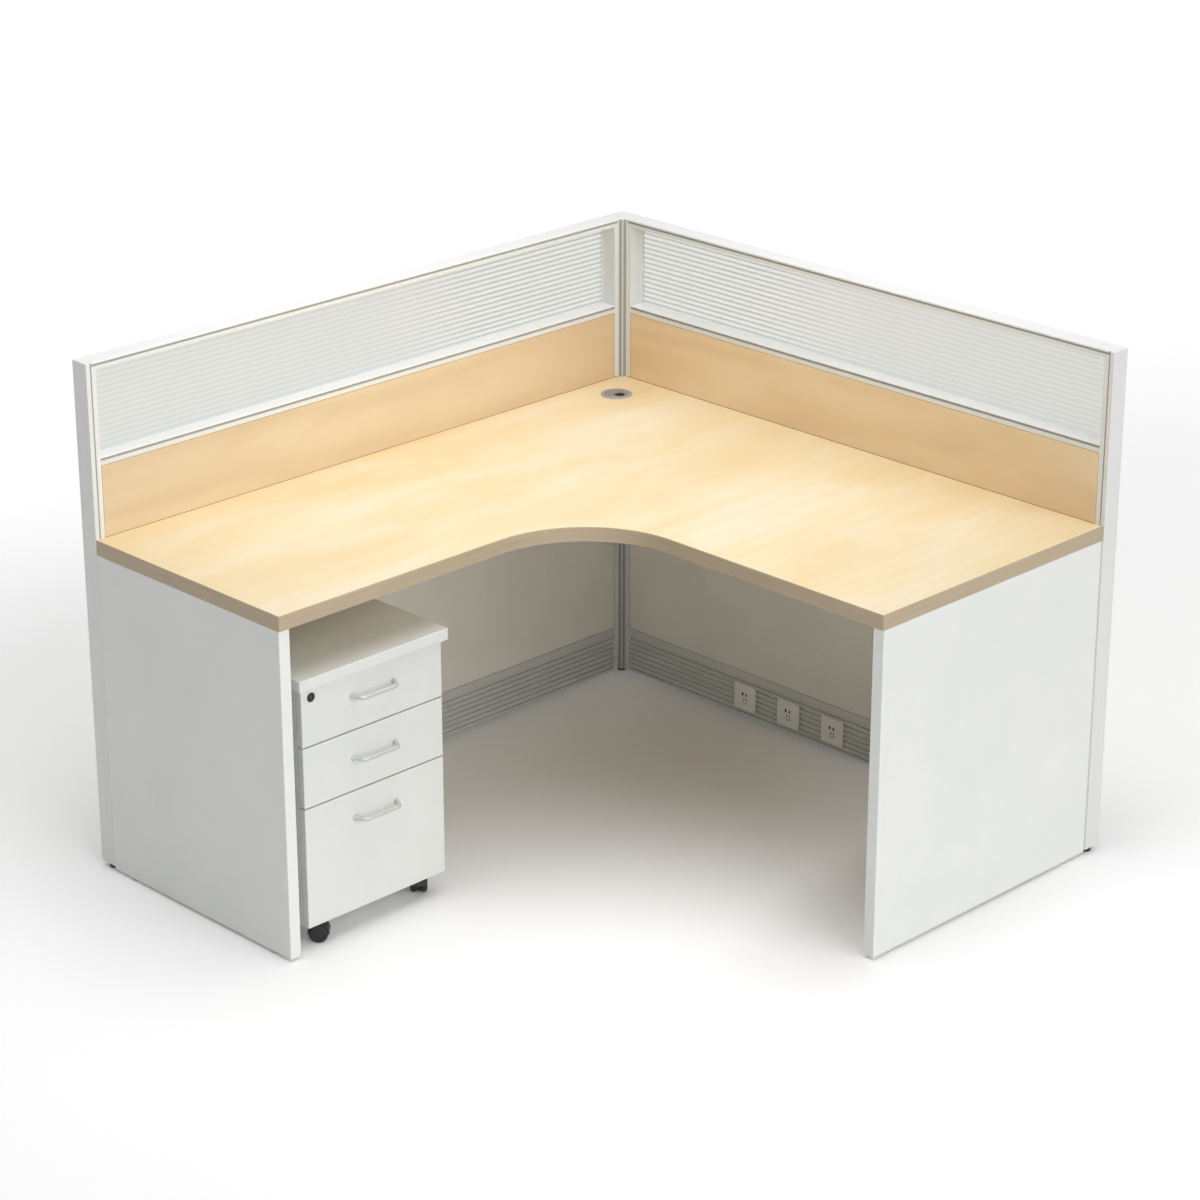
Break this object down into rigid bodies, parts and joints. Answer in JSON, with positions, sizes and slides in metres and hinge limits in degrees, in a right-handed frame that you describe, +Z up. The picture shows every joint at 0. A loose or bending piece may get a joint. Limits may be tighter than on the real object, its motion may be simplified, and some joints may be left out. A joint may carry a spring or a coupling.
{
  "type": "cubicle workstation",
  "caption": "Corner cubicle workstation: glazed panel screens on a corner post, an L-shaped worktop with a cable grommet, end panels and a mobile drawer pedestal with a lock.",
  "frame": {"origin": "middle of the footprint's bounding box, on the floor", "axes": "+Z up; +X along the back screen, away from the corner post; +Y from the user towards the back screen. The corner post stands at -X, +Y"},
  "size_m": [1.44, 1.56, 1.125],
  "materials": {
    "frame_aluminium": "satin silver anodised extrusion",
    "striped_glass": "clear glass with horizontal frosted bands",
    "maple_tile": "matt maple laminate",
    "lower_tile": "matt warm grey laminate",
    "socket_plastic": "moulded off-white",
    "foot_plastic": "black moulded nylon",
    "worktop_laminate": "satin pale maple laminate",
    "edge_band": "tan edge banding",
    "grommet_plastic": "grey moulded plastic",
    "panel_board": "white melamine-faced board",
    "glide_plastic": "pale grey nylon",
    "bracket_steel": "zinc-plated steel",
    "pedestal_board": "white melamine-faced board",
    "runner_steel": "zinc-plated steel",
    "tray_steel": "pale grey powder coat",
    "handle_metal": "satin",
    "lock_body": "black satin",
    "lock_plug": "black satin",
    "caster_plastic": "black moulded nylon",
    "wheel_plastic": "black moulded nylon"
  },
  "bodies": {
    "root": {"corner_post": "frame_aluminium", "sockets": "socket_plastic", "worktop": "worktop_laminate", "worktop_edge_band": "edge_band", "grommet_sleeve": "grommet_plastic", "side_end_panel": "panel_board", "back_end_panel": "panel_board", "panel_glides": "glide_plastic", "worktop_brackets": "bracket_steel", "bracket_screws": "bracket_steel", "back_frame": "frame_aluminium", "back_top_rail": "frame_aluminium", "back_mid_rail": "frame_aluminium", "back_end_trim": "frame_aluminium", "back_skirtings": "frame_aluminium", "back_glass": "striped_glass", "back_inner_wood_tile": "maple_tile", "back_inner_lower_tile": "lower_tile", "back_outer_wood_tile": "maple_tile", "back_outer_lower_tile": "lower_tile", "side_frame": "frame_aluminium", "side_top_rail": "frame_aluminium", "side_mid_rail": "frame_aluminium", "side_end_trim": "frame_aluminium", "side_skirtings": "frame_aluminium", "side_glass": "striped_glass", "side_inner_wood_tile": "maple_tile", "side_inner_lower_tile": "lower_tile", "side_outer_wood_tile": "maple_tile", "side_outer_lower_tile": "lower_tile"},
    "grommet_cap": {"grommet_cap": "grommet_plastic"},
    "corner_foot": {"corner_foot": "foot_plastic"},
    "back_foot": {"back_foot": "foot_plastic"},
    "side_foot": {"side_foot": "foot_plastic"},
    "pedestal": {"pedestal_top": "pedestal_board", "pedestal_sides": "pedestal_board", "pedestal_back": "pedestal_board", "pedestal_bottom": "pedestal_board", "drawer_runners": "runner_steel", "caster_plates": "runner_steel"},
    "top_drawer": {"top_drawer_front": "pedestal_board", "top_drawer_tray": "tray_steel", "top_drawer_handle": "handle_metal", "lock_barrel": "lock_body"},
    "middle_drawer": {"middle_drawer_front": "pedestal_board", "middle_drawer_tray": "tray_steel", "middle_drawer_handle": "handle_metal"},
    "file_drawer": {"file_drawer_front": "pedestal_board", "file_drawer_tray": "tray_steel", "file_drawer_handle": "handle_metal"},
    "lock_plug": {"lock_plug": "lock_plug"},
    "locking_bar": {"locking_bar": "runner_steel"},
    "caster_front_left": {"caster_fork_front_left": "caster_plastic"},
    "wheels_front_left": {"caster_wheels_front_left": "wheel_plastic"},
    "caster_front_right": {"caster_fork_front_right": "caster_plastic"},
    "wheels_front_right": {"caster_wheels_front_right": "wheel_plastic"},
    "caster_rear_left": {"caster_fork_rear_left": "caster_plastic"},
    "wheels_rear_left": {"caster_wheels_rear_left": "wheel_plastic"},
    "caster_rear_right": {"caster_fork_rear_right": "caster_plastic"},
    "wheels_rear_right": {"caster_wheels_rear_right": "wheel_plastic"}
  },
  "joints": [
    {"name": "grommet_turn", "type": "hinge", "parent": "root", "child": "grommet_cap", "pos_m": [-0.585, 0.626, 0.7515], "axis": [0, 0, 1], "continuous": true},
    {"name": "corner_foot_screw", "type": "slide", "parent": "root", "child": "corner_foot", "axis": [0, 0, -1], "range_m": [0, 0.01]},
    {"name": "back_foot_screw", "type": "slide", "parent": "root", "child": "back_foot", "axis": [0, 0, -1], "range_m": [0, 0.01]},
    {"name": "side_foot_screw", "type": "slide", "parent": "root", "child": "side_foot", "axis": [0, 0, -1], "range_m": [0, 0.01]},
    {"name": "pedestal_roll", "type": "slide", "parent": "root", "child": "pedestal", "axis": [1, 0, 0], "range_m": [0, 0.6]},
    {"name": "top_drawer_slide", "type": "slide", "parent": "pedestal", "child": "top_drawer", "axis": [1, 0, 0], "range_m": [0, 0.35]},
    {"name": "middle_drawer_slide", "type": "slide", "parent": "pedestal", "child": "middle_drawer", "axis": [1, 0, 0], "range_m": [0, 0.35]},
    {"name": "file_drawer_slide", "type": "slide", "parent": "pedestal", "child": "file_drawer", "axis": [1, 0, 0], "range_m": [0, 0.35]},
    {"name": "lock_turn", "type": "hinge", "parent": "top_drawer", "child": "lock_plug", "pos_m": [-0.108, -0.699, 0.554], "axis": [1, 0, 0], "range_deg": [0, 90]},
    {"name": "locking_bar_lift", "type": "slide", "parent": "pedestal", "child": "locking_bar", "axis": [0, 0, 1], "range_m": [0, 0.008]},
    {"name": "swivel_front_left", "type": "hinge", "parent": "pedestal", "child": "caster_front_left", "pos_m": [-0.148, -0.684, 0.046], "axis": [0, 0, 1], "continuous": true},
    {"name": "roll_front_left", "type": "hinge", "parent": "caster_front_left", "child": "wheels_front_left", "pos_m": [-0.1381, -0.6741, 0.02], "axis": [0.7071, -0.7071, 0], "continuous": true},
    {"name": "swivel_front_right", "type": "hinge", "parent": "pedestal", "child": "caster_front_right", "pos_m": [-0.148, -0.394, 0.046], "axis": [0, 0, 1], "continuous": true},
    {"name": "roll_front_right", "type": "hinge", "parent": "caster_front_right", "child": "wheels_front_right", "pos_m": [-0.1579, -0.3841, 0.02], "axis": [0.7071, 0.7071, 0], "continuous": true},
    {"name": "swivel_rear_left", "type": "hinge", "parent": "pedestal", "child": "caster_rear_left", "pos_m": [-0.559, -0.684, 0.046], "axis": [0, 0, 1], "continuous": true},
    {"name": "roll_rear_left", "type": "hinge", "parent": "caster_rear_left", "child": "wheels_rear_left", "pos_m": [-0.57112, -0.691, 0.02], "axis": [-0.5, 0.866, 0], "continuous": true},
    {"name": "swivel_rear_right", "type": "hinge", "parent": "pedestal", "child": "caster_rear_right", "pos_m": [-0.559, -0.394, 0.046], "axis": [0, 0, 1], "continuous": true},
    {"name": "roll_rear_right", "type": "hinge", "parent": "caster_rear_right", "child": "wheels_rear_right", "pos_m": [-0.54584, -0.39879, 0.02], "axis": [-0.342, -0.9397, 0], "continuous": true}
  ],
  "couplings": [
    {"joint": "lock_turn", "follows": "locking_bar_lift", "rad_per_m": 196.3}
  ]
}
